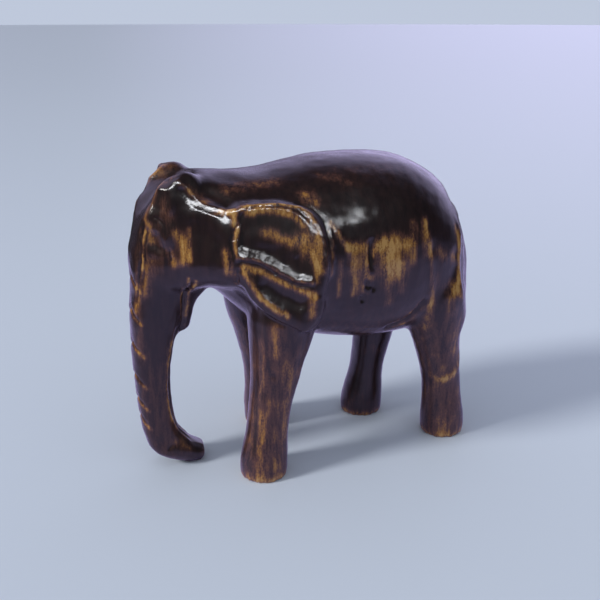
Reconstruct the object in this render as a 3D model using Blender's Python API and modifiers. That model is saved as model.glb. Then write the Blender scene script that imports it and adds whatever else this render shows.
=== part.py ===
"""A carved wooden elephant, standing with its trunk down: one block of wood, its ears and tail in relief.

Metres, +Z up. The elephant faces -X, its left side is at -Y, and the origin is on the floor under
the middle of the figure. It is worked as a carver works: the big masses are roughed out as lofts,
fused into one block and softened with the rasp. Then the cuts are made and the soles are levelled.
"""

import math

import bmesh
import bpy
from mathutils import Matrix, Vector

# ---- Driving dimensions, in metres and degrees ----
BACK_HEIGHT = 0.148  # floor to the top of the back
BELLY_HEIGHT = 0.057  # floor to the lowest point of the belly
BODY_LENGTH = 0.129  # front of the chest to the rump
BODY_WIDTH = 0.075  # across the barrel
CHEST_X = -0.041  # the front of the chest

HEAD_LENGTH = 0.0414  # front of the chest to the face
HEAD_WIDTH = 0.065  # across the cheeks, where the ears begin
CROWN_HEIGHT = 0.1405  # floor to the valley between the domes
THROAT_HEIGHT = 0.092  # floor to the arch between the jaw and the chest
HEAD_TURN = 1.5  # towards the elephant's right
DOME_SPACING = 0.024
DOME_DIAMETER = 0.021
DOME_HEIGHT = 0.0034  # how far the domes rise above the valley

TRUNK_DEPTH = 0.0150  # front to back, halfway down
TRUNK_WIDTH = 0.0160
TRUNK_CURL = 0.028  # how far the tip reaches back from the trunk's front
TIP_THICKNESS = 0.0075
TIP_CLEARANCE = 0.0004  # the tip stops just short of the floor
JAW_DEPTH = 0.022  # how far the lower lip hangs below the throat
JAW_WIDTH = 0.015

ANKLE_DIAMETER = 0.0190
FOOT_DIAMETER = 0.0222
THIGH_DIAMETER = 0.0310
FRONT_TRACK = 0.0510  # between the middles of the front feet
REAR_TRACK = 0.0370
FRONT_FOOT_X = -0.0209  # midway between the front feet
REAR_FOOT_X = 0.0570  # midway between the rear feet
FRONT_STRIDE = 0.0178  # how far the left foot is ahead of the right
REAR_STRIDE = 0.0300  # how far the left foot is behind the right

EAR_LENGTH = 0.042  # front edge to rear edge
EAR_HEIGHT = 0.056
EAR_THICKNESS = 0.0080
EAR_RELIEF = 0.0020  # how far the ear stands out from the shoulder
EAR_LEAN = 8.0  # the top leans in towards the neck
EAR_FLARE = 7.0  # the rear edge stands out
TAIL_LENGTH = 0.052
TAIL_WIDTH = 0.0080
TAIL_RELIEF = 0.0030

RING_POINTS = 32  # round a loft
STATIONS = 24  # along a loft
BLOCK_VOXEL = 0.0012  # grain of the fused block
RASP_PASSES = 8  # how far the fused block is softened
TRIANGLES = 7400  # in the finished block

# ---- Places that follow from them ----
RUMP_X = CHEST_X + BODY_LENGTH
FACE_X = CHEST_X - HEAD_LENGTH
HEAD_PIVOT_X = CHEST_X + 0.20 * BODY_LENGTH
HEAD_MATRIX = (
    Matrix.Translation((HEAD_PIVOT_X, 0, 0))
    @ Matrix.Rotation(math.radians(-HEAD_TURN), 4, "Z")
    @ Matrix.Translation((-HEAD_PIVOT_X, 0, 0))
)


def clear_scene():
    for item in list(bpy.data.objects):
        bpy.data.objects.remove(item)


def new_collection(name):
    collection = bpy.data.collections.new(name)
    bpy.context.scene.collection.children.link(collection)
    return collection


def new_object(name, mesh, collection):
    item = bpy.data.objects.new(name, mesh)
    collection.objects.link(item)
    return item


# ---- Lofts: a row of rounded sections with a smooth skin ----
def catmull_rom(values, t):
    """The smooth curve through a row of vectors, at t from 0 to 1."""
    last = len(values) - 1
    place = min(t * last, last - 1e-9)
    i = int(place)
    u = place - i
    a = values[max(i - 1, 0)]
    b = values[i]
    c = values[i + 1]
    d = values[min(i + 2, last)]
    return 0.5 * ((2 * b) + (c - a) * u + (2 * a - 5 * b + 4 * c - d) * u**2 + (3 * b - a - 3 * c + d) * u**3)


def section_ring(centre, across, along, power):
    """Points round a superellipse: power 2 is an ellipse, and more is squarer."""
    ring = []
    for i in range(RING_POINTS):
        angle = math.tau * i / RING_POINTS
        c = math.cos(angle)
        s = math.sin(angle)
        x = math.copysign(abs(c) ** (2 / power), c)
        y = math.copysign(abs(s) ** (2 / power), s)
        ring.append(centre + across * x + along * y)
    return ring


def loft(name, rings, collection, matrix=Matrix()):
    """A closed skin over the rings, which all turn the same way."""
    bm = bmesh.new()
    rows = [[bm.verts.new(matrix @ point) for point in ring] for ring in rings]
    for row, next_row in zip(rows, rows[1:]):
        for i in range(RING_POINTS):
            j = (i + 1) % RING_POINTS
            bm.faces.new((row[i], row[j], next_row[j], next_row[i]))
    bm.faces.new(rows[0])
    bm.faces.new(rows[-1])
    bmesh.ops.recalc_face_normals(bm, faces=bm.faces)
    mesh = bpy.data.meshes.new(name)
    bm.to_mesh(mesh)
    bm.free()
    return new_object(name, mesh, collection)


def smooth_rows(rows):
    """Rows of numbers, one for each chosen station, resampled on the smooth curve through them."""
    vectors = [Vector(row) for row in rows]
    return [catmull_rom(vectors, i / (STATIONS - 1)) for i in range(STATIONS)]


# ---- The masses ----
def torso(collection):
    """Upright sections from the neck to the rump: place, top, bottom and half width."""
    high = BACK_HEIGHT
    low = BELLY_HEIGHT
    half = BODY_WIDTH / 2
    stations = [
        # share of the length, top, bottom, half width
        (-0.150, 0.955 * high, low + 0.046, 0.33 * half),
        (-0.085, 0.973 * high, low + 0.038, 0.48 * half),
        (0.000, 0.983 * high, low + 0.028, 0.68 * half),
        (0.085, 0.980 * high, low + 0.017, 0.82 * half),
        (0.200, 0.986 * high, low + 0.009, 0.92 * half),
        (0.360, 0.997 * high, low + 0.004, 0.98 * half),
        (0.510, 1.000 * high, low, 1.00 * half),
        (0.630, 0.992 * high, low, 0.98 * half),
        (0.720, 0.970 * high, low + 0.001, 0.92 * half),
        (0.806, 0.928 * high, low + 0.001, 0.83 * half),
        (0.876, 0.872 * high, low - 0.002, 0.69 * half),
        (0.930, 0.790 * high, low - 0.006, 0.54 * half),
        (0.968, 0.715 * high, low - 0.009, 0.37 * half),
        (0.992, 0.635 * high, low - 0.009, 0.18 * half),
        (1.000, 0.570 * high, low - 0.006, 0.06 * half),
    ]
    rings = []
    for share, top, bottom, width in smooth_rows(stations):
        centre = Vector((CHEST_X + share * BODY_LENGTH, 0, (top + bottom) / 2))
        rings.append(section_ring(centre, Vector((0, width, 0)), Vector((0, 0, (top - bottom) / 2)), 2.35))
    return loft("torso", rings, collection)


def head(collection):
    """Upright sections of a wedge that widens from the flat face to the ears."""
    crown = CROWN_HEIGHT
    half = HEAD_WIDTH / 2
    stations = [
        # share of the length ahead of the chest, top, bottom, half width
        (1.00, crown - 0.0360, THROAT_HEIGHT + 0.006, 0.25 * half),
        (0.94, crown - 0.0215, THROAT_HEIGHT + 0.003, 0.31 * half),
        (0.86, crown - 0.0115, THROAT_HEIGHT + 0.001, 0.38 * half),
        (0.72, crown - 0.0040, THROAT_HEIGHT - 0.001, 0.48 * half),
        (0.56, crown - 0.0010, THROAT_HEIGHT - 0.001, 0.59 * half),
        (0.42, crown - 0.0010, THROAT_HEIGHT - 0.001, 0.72 * half),
        (0.26, crown - 0.0035, THROAT_HEIGHT + 0.001, 0.86 * half),
        (0.10, crown - 0.0070, THROAT_HEIGHT + 0.001, 1.00 * half),
        (-0.10, crown - 0.0110, THROAT_HEIGHT, 1.02 * half),
    ]
    rings = []
    for share, top, bottom, width in smooth_rows(stations):
        centre = Vector((CHEST_X - share * HEAD_LENGTH, 0, (top + bottom) / 2))
        rings.append(section_ring(centre, Vector((0, width, 0)), Vector((0, 0, (top - bottom) / 2)), 3.2))
    return loft("head", rings, collection, HEAD_MATRIX)


def domes(collection):
    """The two domes on the crown, with a valley between them."""
    for side in (-1, 1):
        place = HEAD_MATRIX @ Vector((
            CHEST_X - 0.46 * HEAD_LENGTH, side * DOME_SPACING / 2,
            CROWN_HEIGHT + DOME_HEIGHT - DOME_DIAMETER / 2))
        bm = bmesh.new()
        bmesh.ops.create_uvsphere(bm, u_segments=24, v_segments=16, radius=DOME_DIAMETER / 2)
        bmesh.ops.scale(bm, vec=(1.10, 0.70, 1.0), verts=bm.verts)
        bmesh.ops.translate(bm, vec=place, verts=bm.verts)
        mesh = bpy.data.meshes.new("dome")
        bm.to_mesh(mesh)
        bm.free()
        new_object("dome", mesh, collection)


def trunk(collection):
    """Sections square to a spine that runs down the face and curls back at the floor."""
    front = FACE_X - 0.0008
    deep = TRUNK_DEPTH
    half = TRUNK_WIDTH / 2
    throat = THROAT_HEIGHT
    floor = TIP_CLEARANCE
    tip = TIP_THICKNESS
    stations = [
        # middle x, middle z, lean of the spine in degrees, half depth, half width
        (front + 0.85 * deep, 1.22 * throat, 0, 0.80 * deep, 1.55 * half),
        (front + 0.85 * deep, 1.06 * throat, 0, 0.82 * deep, 1.50 * half),
        (front + 0.76 * deep, 0.90 * throat, 0, 0.75 * deep, 1.32 * half),
        (front + 0.62 * deep, 0.74 * throat, 0, 0.62 * deep, 1.12 * half),
        (front + 0.53 * deep, 0.56 * throat, 0, 0.52 * deep, 1.00 * half),
        (front + 0.55 * deep, 0.38 * throat, 8, 0.48 * deep, 0.96 * half),
        (front + 0.66 * deep, 0.24 * throat, 22, 0.48 * deep, 0.95 * half),
        (front + 0.46 * TRUNK_CURL, floor + 1.75 * tip, 42, 0.47 * deep, 0.95 * half),
        (front + 0.64 * TRUNK_CURL, floor + 1.15 * tip, 55, 0.42 * deep, 0.90 * half),
        (front + 0.84 * TRUNK_CURL, floor + 0.70 * tip, 66, 0.60 * tip, 0.78 * half),
        (front + 1.04 * TRUNK_CURL, floor + 0.50 * tip, 76, 0.49 * tip, 0.66 * half),
    ]
    rings = []
    for x, z, lean, depth, width in smooth_rows(stations):
        turn = Matrix.Rotation(math.radians(-lean), 3, "Y")
        rings.append(section_ring(Vector((x, 0, z)), turn @ Vector((depth, 0, 0)), Vector((0, width, 0)), 3.0))
    return loft("trunk", rings, collection, HEAD_MATRIX)


def jaw(collection):
    """The lower lip, a blunt wedge that hangs behind the root of the trunk."""
    half = JAW_WIDTH / 2
    throat = THROAT_HEIGHT
    stations = [
        # middle x, middle z, half depth, half width
        (CHEST_X - 0.0145, throat + 0.010, 0.0150, 1.60 * half),
        (CHEST_X - 0.0170, throat, 0.0120, 1.30 * half),
        (CHEST_X - 0.0195, throat - 0.35 * JAW_DEPTH, 0.0070, 1.00 * half),
        (CHEST_X - 0.0200, throat - 0.70 * JAW_DEPTH, 0.0042, 0.80 * half),
        (CHEST_X - 0.0202, throat - 1.00 * JAW_DEPTH, 0.0020, 0.50 * half),
    ]
    rings = []
    for x, z, depth, width in smooth_rows(stations):
        rings.append(section_ring(Vector((x, 0, z)), Vector((depth, 0, 0)), Vector((0, width, 0)), 2.4))
    return loft("jaw", rings, collection, HEAD_MATRIX)


def leg(name, foot_x, foot_y, hip_x, hip_y, collection):
    """Level sections from below the sole to inside the body; the leg leans from its foot to its hip."""
    foot = FOOT_DIAMETER / 2
    ankle = ANKLE_DIAMETER / 2
    thigh = THIGH_DIAMETER / 2
    stations = [
        # height as a share of the belly's, share of the way to the hip, radius
        (-0.08, 0.00, 0.98 * foot),
        (0.10, 0.00, foot),
        (0.24, 0.06, 0.95 * foot),
        (0.42, 0.18, ankle),
        (0.64, 0.36, 1.02 * ankle),
        (0.92, 0.66, 0.55 * ankle + 0.40 * thigh),
        (1.16, 0.90, 0.20 * ankle + 0.80 * thigh),
        (1.40, 1.00, 1.00 * thigh),
        (1.75, 0.80, 0.60 * thigh),
    ]
    rings = []
    for height, share, radius in smooth_rows(stations):
        centre = Vector((
            foot_x + share * (hip_x - foot_x),
            foot_y + share * (hip_y - foot_y),
            height * BELLY_HEIGHT))
        rings.append(section_ring(centre, Vector((radius, 0, 0)), Vector((0, 0.97 * radius, 0)), 2.1))
    return loft(name, rings, collection)


def legs(collection):
    """Left legs apart and right legs together, as in a slow walk."""
    front_hip = CHEST_X + 0.175 * BODY_LENGTH
    rear_hip = CHEST_X + 0.765 * BODY_LENGTH
    for side, word in ((-1, "left"), (1, "right")):
        leg("front_" + word, FRONT_FOOT_X + side * FRONT_STRIDE / 2, side * FRONT_TRACK / 2,
            front_hip, side * 0.56 * BODY_WIDTH / 2, collection)
        leg("rear_" + word, REAR_FOOT_X - side * REAR_STRIDE / 2, side * REAR_TRACK / 2,
            rear_hip - side * 0.17 * REAR_STRIDE, side * 0.46 * BODY_WIDTH / 2, collection)


def ear(side, collection):
    """A broad leaf on the shoulder: straight in front, round on top and pointed below."""
    outline = [
        # share of the length from the front edge, share of the height from the top
        (0.10, 0.05),
        (0.35, 0.00),
        (0.64, 0.02),
        (0.87, 0.13),
        (1.00, 0.38),
        (0.97, 0.64),
        (0.82, 1.00),
        (0.58, 0.92),
        (0.34, 0.80),
        (0.16, 0.58),
        (0.09, 0.30),
    ]
    curve = bpy.data.curves.new("ear", "CURVE")
    curve.dimensions = "2D"
    curve.fill_mode = "BOTH"
    curve.extrude = EAR_THICKNESS / 2
    curve.bevel_depth = 0.0012
    curve.bevel_resolution = 2
    spline = curve.splines.new("BEZIER")
    spline.bezier_points.add(len(outline) - 1)
    spline.use_cyclic_u = True
    for point, (along, down) in zip(spline.bezier_points, outline):
        point.co = ((along - 0.5) * EAR_LENGTH, (0.5 - down) * EAR_HEIGHT, 0)
        point.handle_left_type = "AUTO"
        point.handle_right_type = "AUTO"
    guide = new_object("ear", curve, collection)
    bpy.context.view_layer.update()
    mesh = bpy.data.meshes.new_from_object(guide.evaluated_get(bpy.context.evaluated_depsgraph_get()))
    bpy.data.objects.remove(guide)
    ear_object = new_object("ear", mesh, collection)
    middle = Vector((
        CHEST_X + 0.127 * BODY_LENGTH,
        side * (0.435 * BODY_WIDTH + EAR_RELIEF - EAR_THICKNESS / 2),
        BACK_HEIGHT - 0.0430))
    stand = Matrix.Rotation(math.radians(90), 4, "X")
    lean = Matrix.Rotation(math.radians(side * EAR_LEAN), 4, "X")
    flare = Matrix.Rotation(math.radians(side * EAR_FLARE), 4, "Z")
    ear_object.data.transform(Matrix.Translation(middle) @ flare @ lean @ stand)
    return ear_object


def tail(collection):
    """A flat ridge that runs down the middle of the rump and ends in a tuft."""
    top = BACK_HEIGHT - 0.052
    stations = [
        # share of the length, distance behind the rump, half width, half depth
        (0.00, -0.0110, 0.34 * TAIL_WIDTH, 0.0025),
        (0.28, -0.0028, 0.42 * TAIL_WIDTH, 0.0045),
        (0.55, -0.0004, 0.46 * TAIL_WIDTH, 0.0055),
        (0.85, -0.0008, 0.58 * TAIL_WIDTH, 0.0065),
        (1.00, -0.0040, 0.36 * TAIL_WIDTH, 0.0050),
    ]
    rings = []
    for share, behind, width, depth in smooth_rows(stations):
        centre = Vector((RUMP_X + behind + TAIL_RELIEF - depth, 0, top - share * TAIL_LENGTH))
        rings.append(section_ring(centre, Vector((depth, 0, 0)), Vector((0, width, 0)), 2.4))
    return loft("tail", rings, collection)


# ---- From masses to one block ----
def fuse(masses, name, collection):
    """Joins the overlapping masses, turns them into one skin and softens it."""
    bm = bmesh.new()
    for mass in masses:
        bm.from_mesh(mass.data)
        bpy.data.objects.remove(mass)
    mesh = bpy.data.meshes.new(name)
    bm.to_mesh(mesh)
    bm.free()
    block = new_object(name, mesh, collection)
    remesh = block.modifiers.new("fuse", "REMESH")
    remesh.mode = "VOXEL"
    remesh.voxel_size = BLOCK_VOXEL
    rasp = block.modifiers.new("rasp", "SMOOTH")
    rasp.factor = 0.5
    rasp.iterations = RASP_PASSES
    return block


def apply_modifiers(item):
    """Replaces the object's mesh with its evaluated one."""
    bpy.context.view_layer.update()
    evaluated = item.evaluated_get(bpy.context.evaluated_depsgraph_get())
    mesh = bpy.data.meshes.new_from_object(evaluated)
    item.modifiers.clear()
    item.data = mesh


def thin_out(block):
    """Keeps only as many triangles as the shape needs."""
    apply_modifiers(block)
    faces = sum(len(polygon.vertices) - 2 for polygon in block.data.polygons)
    thin = block.modifiers.new("thin", "DECIMATE")
    thin.ratio = TRIANGLES / faces
    apply_modifiers(block)


def level_soles(block, cutters):
    """Saws off everything below the floor, which leaves four flat soles."""
    bm = bmesh.new()
    bmesh.ops.create_cube(bm, size=0.4)
    bmesh.ops.translate(bm, vec=(0, 0, -0.2), verts=bm.verts)
    mesh = bpy.data.meshes.new("floor_saw")
    bm.to_mesh(mesh)
    bm.free()
    saw = new_object("floor_saw", mesh, cutters)
    saw.hide_render = True
    saw.display_type = "WIRE"
    cut = block.modifiers.new("soles", "BOOLEAN")
    cut.operation = "DIFFERENCE"
    cut.solver = "EXACT"
    cut.object = saw
    apply_modifiers(block)


def centre_on_origin(block):
    """Moves the figure so that the middle of its footprint box is over the origin."""
    xs = [vertex.co.x for vertex in block.data.vertices]
    ys = [vertex.co.y for vertex in block.data.vertices]
    middle = Vector(((min(xs) + max(xs)) / 2, (min(ys) + max(ys)) / 2, 0))
    block.data.transform(Matrix.Translation(-middle))
    return middle


def lacquered_wood():
    material = bpy.data.materials.new("lacquered_wood")
    material.use_nodes = True
    shader = material.node_tree.nodes["Principled BSDF"]
    shader.inputs["Base Color"].default_value = (0.055, 0.024, 0.014, 1)
    shader.inputs["Roughness"].default_value = 0.28
    shader.inputs["Metallic"].default_value = 0.0
    return material


def main():
    clear_scene()
    parts = new_collection("carved_wooden_elephant")
    cutters = new_collection("cutters")
    torso(parts)
    head(parts)
    domes(parts)
    trunk(parts)
    jaw(parts)
    legs(parts)
    for side in (-1, 1):
        ear(side, parts)
    tail(parts)
    block = fuse(list(parts.objects), "carved_elephant", parts)
    thin_out(block)
    level_soles(block, cutters)
    middle = centre_on_origin(block)
    block.data.shade_smooth()
    block.data.set_sharp_from_angle(angle=math.radians(40))
    block.data.materials.clear()
    block.data.materials.append(lacquered_wood())
    size = block.dimensions * 1000
    print("carved elephant: %.1f x %.1f x %.1f mm" % tuple(size), "moved by", [round(v * 1000, 2) for v in middle])


main()
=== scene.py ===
# %% [markdown]
# # A carved wooden elephant
#
# The figure is one block of wood. A carver roughs it out with a saw, shapes it with a gouge and a
# rasp, stains it dark, rubs the high spots back to the honey-coloured wood and lacquers it.
# This script works in the same order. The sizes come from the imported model, which is the roughed-out block.

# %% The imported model
import bpy
import math
import numpy as np
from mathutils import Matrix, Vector
from mathutils.kdtree import KDTree


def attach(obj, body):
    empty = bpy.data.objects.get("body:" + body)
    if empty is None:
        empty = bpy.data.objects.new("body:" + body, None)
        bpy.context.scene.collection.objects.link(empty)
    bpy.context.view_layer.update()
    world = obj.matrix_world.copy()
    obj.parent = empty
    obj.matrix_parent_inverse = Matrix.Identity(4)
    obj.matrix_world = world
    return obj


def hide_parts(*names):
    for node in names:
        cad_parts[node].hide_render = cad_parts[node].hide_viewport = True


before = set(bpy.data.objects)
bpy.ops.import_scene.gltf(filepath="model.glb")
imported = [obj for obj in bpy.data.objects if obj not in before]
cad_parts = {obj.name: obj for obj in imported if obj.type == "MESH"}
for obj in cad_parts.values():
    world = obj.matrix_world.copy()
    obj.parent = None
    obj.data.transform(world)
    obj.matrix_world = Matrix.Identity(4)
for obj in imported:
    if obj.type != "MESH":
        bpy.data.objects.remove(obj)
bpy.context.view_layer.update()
MM = 0.001
LEFT, RIGHT = -1, 1

# %% [markdown]
# ## The camera
#
# A lens of 48 mm on a 36 mm sensor looks down at the figure from a little ahead of its left side. It is
# set up first, because every later step is judged through it.

# %% The camera
CAMERA_PLACE = Vector((-137.6, -345.1, 210.7)) * MM
CAMERA_TURN = math.radians(-21)
CAMERA_TILT = math.radians(70)

bpy.ops.object.select_all(action="DESELECT")
bpy.ops.object.camera_add(location=CAMERA_PLACE, rotation=(CAMERA_TILT, 0, CAMERA_TURN))
camera = bpy.context.object
camera.name = "camera"
camera.data.lens = 48
camera.data.sensor_width = 36
camera.data.clip_start = 0.01
bpy.context.scene.camera = camera
bpy.context.scene.view_settings.view_transform = "Standard"
print("camera", [round(value / MM) for value in camera.location], "mm")

# %% [markdown]
# ## The roughed-out block
#
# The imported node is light, with facets of several millimetres, and it can't be changed. So the carving
# starts from a copy. Its loose triangles are merged, a voxel remesh gives it an even skin, and a little
# smoothing takes the facets off. A subdivision modifier would be quicker, but it would keep the long thin
# triangles of the model, and strokes across those come out ragged.

# %% Copy, remesh and smooth
BLOCK_GRAIN = 1.38 * MM
FACET_SMOOTHING = 7

def active_only(item):
    bpy.ops.object.select_all(action="DESELECT")
    item.select_set(True)
    bpy.context.view_layer.objects.active = item

def count_triangles(item):
    return sum(len(polygon.vertices) - 2 for polygon in item.data.polygons)

elephant = bpy.data.objects.new("elephant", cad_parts["carved_elephant"].data.copy())
bpy.context.scene.collection.objects.link(elephant)
elephant.data.materials.clear()
active_only(elephant)
bpy.ops.object.mode_set(mode="EDIT")
bpy.ops.mesh.select_all(action="SELECT")
bpy.ops.mesh.remove_doubles(threshold=0.01 * MM)
bpy.ops.object.mode_set(mode="OBJECT")

remesh = elephant.modifiers.new("even skin", "REMESH")
remesh.mode = "VOXEL"
remesh.voxel_size = BLOCK_GRAIN
bpy.ops.object.modifier_apply(modifier="even skin")
rasp = elephant.modifiers.new("rasp", "SMOOTH")
rasp.factor = 0.5
rasp.iterations = FACET_SMOOTHING
bpy.ops.object.modifier_apply(modifier="rasp")
print("block", count_triangles(elephant), "triangles")

# %% [markdown]
# The head, the ears and the trunk get the finest cuts, so their faces are divided once more. A finer
# remesh of the whole figure would do that too, but it would spend most of its faces on the smooth back and
# belly. This way the piece stays under two hundred thousand triangles.

# %% Finer faces where the fine cuts go
FINE_ZONE_END = -2 * MM  # behind the ears
FINE_ZONE_FLOOR = 72 * MM  # above the legs
TRUNK_ZONE_END = -52 * MM
EAR_ZONE_SIDE = 18 * MM
CHECK_ZONE_END, CHECK_ZONE_SIDE, CHECK_ZONE_FLOOR = 26 * MM, -30 * MM, 80 * MM  # on the left flank

def needs_fine_faces(centre):
    if centre.x < TRUNK_ZONE_END:
        return True
    if centre.x < FINE_ZONE_END:
        return centre.z > FINE_ZONE_FLOOR and abs(centre.y) > EAR_ZONE_SIDE
    return centre.y < CHECK_ZONE_SIDE and centre.x < CHECK_ZONE_END and centre.z > CHECK_ZONE_FLOOR

bpy.ops.object.mode_set(mode="EDIT")
bpy.ops.mesh.select_all(action="DESELECT")
bpy.ops.mesh.select_mode(type="FACE")
bpy.ops.object.mode_set(mode="OBJECT")
for polygon in elephant.data.polygons:
    polygon.select = needs_fine_faces(polygon.center)
bpy.ops.object.mode_set(mode="EDIT")
bpy.ops.mesh.subdivide(number_cuts=1, smoothness=0)
bpy.ops.object.mode_set(mode="OBJECT")
print("with fine faces", count_triangles(elephant), "triangles")

# %% [markdown]
# ## The tools
#
# Every cut is a stroke: a few points laid on the surface, joined by a smooth curve. The carver's edge
# follows the curve, and what it does depends only on how far a spot of wood is from it. Sculpt brushes
# make such cuts by hand, but a script can't hold a brush, and a bevelled curve would be a piece of its own.
# So the strokes move the vertices. With numpy this takes a moment for all of them at once, and each stroke
# can be read as one line.

# %% The wood as arrays
def read_skin(item):
    """Places and normals of the vertices, and the two ends of each edge."""
    count = len(item.data.vertices)
    places = np.empty(count * 3)
    normals = np.empty(count * 3)
    item.data.vertices.foreach_get("co", places)
    item.data.vertex_normals.foreach_get("vector", normals)
    ends = np.empty(len(item.data.edges) * 2, dtype=int)
    item.data.edges.foreach_get("vertices", ends)
    return places.reshape(-1, 3), normals.reshape(-1, 3), ends.reshape(-1, 2)

def write_skin(item, places):
    item.data.vertices.foreach_set("co", places.ravel())
    item.data.update()

skin, normals, edges = read_skin(elephant)
neighbours = np.bincount(edges.ravel(), minlength=len(skin))

def even_out(values, times):
    """Each vertex takes half its own value and half its neighbours' mean, over and over."""
    values = values.copy()
    for _ in range(times):
        total = np.zeros_like(values)
        np.add.at(total, edges[:, 0], values[edges[:, 1]])
        np.add.at(total, edges[:, 1], values[edges[:, 0]])
        share = neighbours if values.ndim == 1 else neighbours[:, None]
        values = 0.5 * values + 0.5 * total / share
    return values

print(len(skin), "vertices,", len(edges), "edges")

# %% Laying a stroke on the surface
def curve_through(points, per_span=10):
    """A smooth curve through the points, as many close points."""
    points = np.array(points, float)
    padded = np.vstack([2 * points[0] - points[1], points, 2 * points[-1] - points[-2]])
    curve = []
    for i in range(1, len(padded) - 2):
        a, b, c, d = padded[i - 1:i + 3]
        for u in np.linspace(0, 1, per_span, endpoint=False):
            curve.append(0.5 * (2 * b + (c - a) * u + (2 * a - 5 * b + 4 * c - d) * u**2
                                + (3 * b - a - 3 * c + d) * u**3))
    curve.append(padded[-2])
    return np.array(curve)

def make_finder(places):
    tree = KDTree(len(places))
    for i, place in enumerate(places):
        tree.insert(place, i)
    tree.balance()
    return tree

finder = make_finder(skin)

def settle(item, places):
    """Puts the places into the mesh and gives them back with their new normals and a new finder."""
    write_skin(item, places)
    places, new_normals, _ = read_skin(item)
    return places, new_normals, make_finder(places)

def on_surface(points, side):
    """The curve through points given in millimetres on the left side, moved to the surface of one side."""
    curve = curve_through(points) * MM
    curve[:, 1] *= -side
    return np.array([finder.find(place)[0] for place in curve])

def measure(places, curve, reach):
    """For the vertices within reach of the curve: numbers, distances, side of it and share along it."""
    low = curve.min(axis=0) - reach
    high = curve.max(axis=0) + reach
    near = np.flatnonzero(((places > low) & (places < high)).all(axis=1))
    best = np.full(len(near), np.inf)
    offset = np.zeros((len(near), 3))
    heading = np.zeros((len(near), 3))
    along = np.zeros(len(near))
    for i, (start, end) in enumerate(zip(curve, curve[1:])):
        run = end - start
        length = max(run @ run, 1e-12)
        share = np.clip((places[near] - start) @ run / length, 0, 1)
        gap = places[near] - (start + share[:, None] * run)
        distance = np.linalg.norm(gap, axis=1)
        closer = distance < best
        best[closer] = distance[closer]
        offset[closer] = gap[closer]
        heading[closer] = run / math.sqrt(length)
        along[closer] = (i + share[closer]) / (len(curve) - 1)
    kept = best < reach
    near, best, offset, heading, along = near[kept], best[kept], offset[kept], heading[kept], along[kept]
    across = np.einsum("ij,ij->i", np.cross(heading, normals[near]), offset)
    return near, best, across, along

def bell(distance, width):
    return np.exp(-(distance / width) ** 2)

def ease(value, start, end):
    t = np.clip((value - start) / (end - start), 0, 1)
    return t * t * (3 - 2 * t)

# %% The gouge, the ridge and the lip
def taper(along, ends):
    """Fades a stroke out over its first and last shares."""
    first, last = ends
    fade = np.ones_like(along)
    if first > 0:
        fade *= ease(along, 0, first)
    if last > 0:
        fade *= ease(1 - along, 0, last)
    return fade

def press(places, points, side, width, depth, ends=(0.15, 0.15)):
    """A cut of that depth, or with a negative depth a raised ridge."""
    near, distance, _, along = measure(places, on_surface(points, side), 3 * width * MM)
    amount = depth * MM * bell(distance, width * MM) * taper(along, ends)
    places[near] -= normals[near] * amount[:, None]

def lip(places, points, side, heights, falls, drop):
    """A ledge: a slanting flat comes out to an edge along the stroke, and the wood drops below it."""
    near, _, across, along = measure(places, on_surface(points, side), 7 * MM)
    above = across * side / MM
    height = np.interp(along, np.linspace(0, 1, len(heights)), heights)
    fall = np.interp(along, np.linspace(0, 1, len(falls)), falls)
    edge = ease(above, -0.9, 0.3)
    swell = height * np.clip(1 - above / fall, 0, 1) * edge
    sink = drop * (1 - edge) * bell(np.minimum(above, 0), 2.5)
    places[near] += normals[near] * ((swell - sink) * MM * taper(along, (0.02, 0.06)))[:, None]

print("tools ready")

# %% The thumb and the flat chisel
def push(places, centre, reach, move, sides=(LEFT, RIGHT)):
    """Moves the wood near a point; the reach is along X, Y and Z, and all is in millimetres."""
    for side in sides:
        mirror = np.array([1, -side, 1])
        gap = places - np.array(centre) * mirror * MM
        distance = np.linalg.norm(gap / (np.array(reach) * MM), axis=1)
        places += bell(distance, 1)[:, None] * np.array(move) * mirror * MM

def flatten(places, centre, facing, radius, strength, side):
    """Planes the wood round a point towards a flat that faces that way."""
    mirror = np.array([1, -side, 1])
    middle = np.array(centre) * mirror * MM
    facing = np.array(facing, float) * mirror
    facing /= np.linalg.norm(facing)
    gap = places - middle
    height = gap @ facing
    across = np.linalg.norm(gap - height[:, None] * facing, axis=1) / MM
    amount = strength * (1 - ease(across, 0.5 * radius, 1.3 * radius)) * (np.abs(height) < 7 * MM)
    amount *= ease(normals @ facing, 0.2, 0.6)
    places -= (height * amount)[:, None] * facing

print("thumb and chisel ready")

# %% [markdown]
# ## The big shapes
#
# The remesh shrank the legs and the trunk a little, so they are let out again first. Then the neck is
# lowered, the domes are raised into two wedges with a channel between them, the trunk and the tip of the
# jaw get their full depth, and the sides of the head are planed flat. A lattice could bend all this at
# once, but its cage would blur one place into the next. A push moves one lump, and the rest stays put.

# %% Letting out, the neck and the domes
BACK_SWELL, LIMB_SWELL = 0.1, 0.45
height = skin[:, 2] / MM
skin += normals * ((BACK_SWELL + (LIMB_SWELL - BACK_SWELL) * (1 - ease(height, 85, 115))) * MM)[:, None]

# the neck goes down; it lies on the middle line, so it is pushed once
push(skin, (-29, 0, 146), (23, 40, 16), (0, 0, -2.7), (LEFT,))
# the middle, the front and the back of each dome go up
push(skin, (-58, 13, 144), (9, 7, 9), (0, 0, 2.4))
push(skin, (-66, 14, 143), (6, 6, 6), (0, 0, 0.8))
push(skin, (-54, 12, 143), (8, 8, 8), (0, 0, 1.6))
# the forehead comes forward below them, and the wood behind them is hollowed
push(skin, (-77, 13, 134), (6, 7, 9), (-1.2, 0.8, 0))
push(skin, (-49, -11, 143), (9, 6, 6), (0, 0, -2.2))
# where the ridge of the head runs into the ear's rim
push(skin, (-49, -23, 132), (8, 5, 5), (0, -0.4, 1.6))
print("neck and domes shaped")

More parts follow.
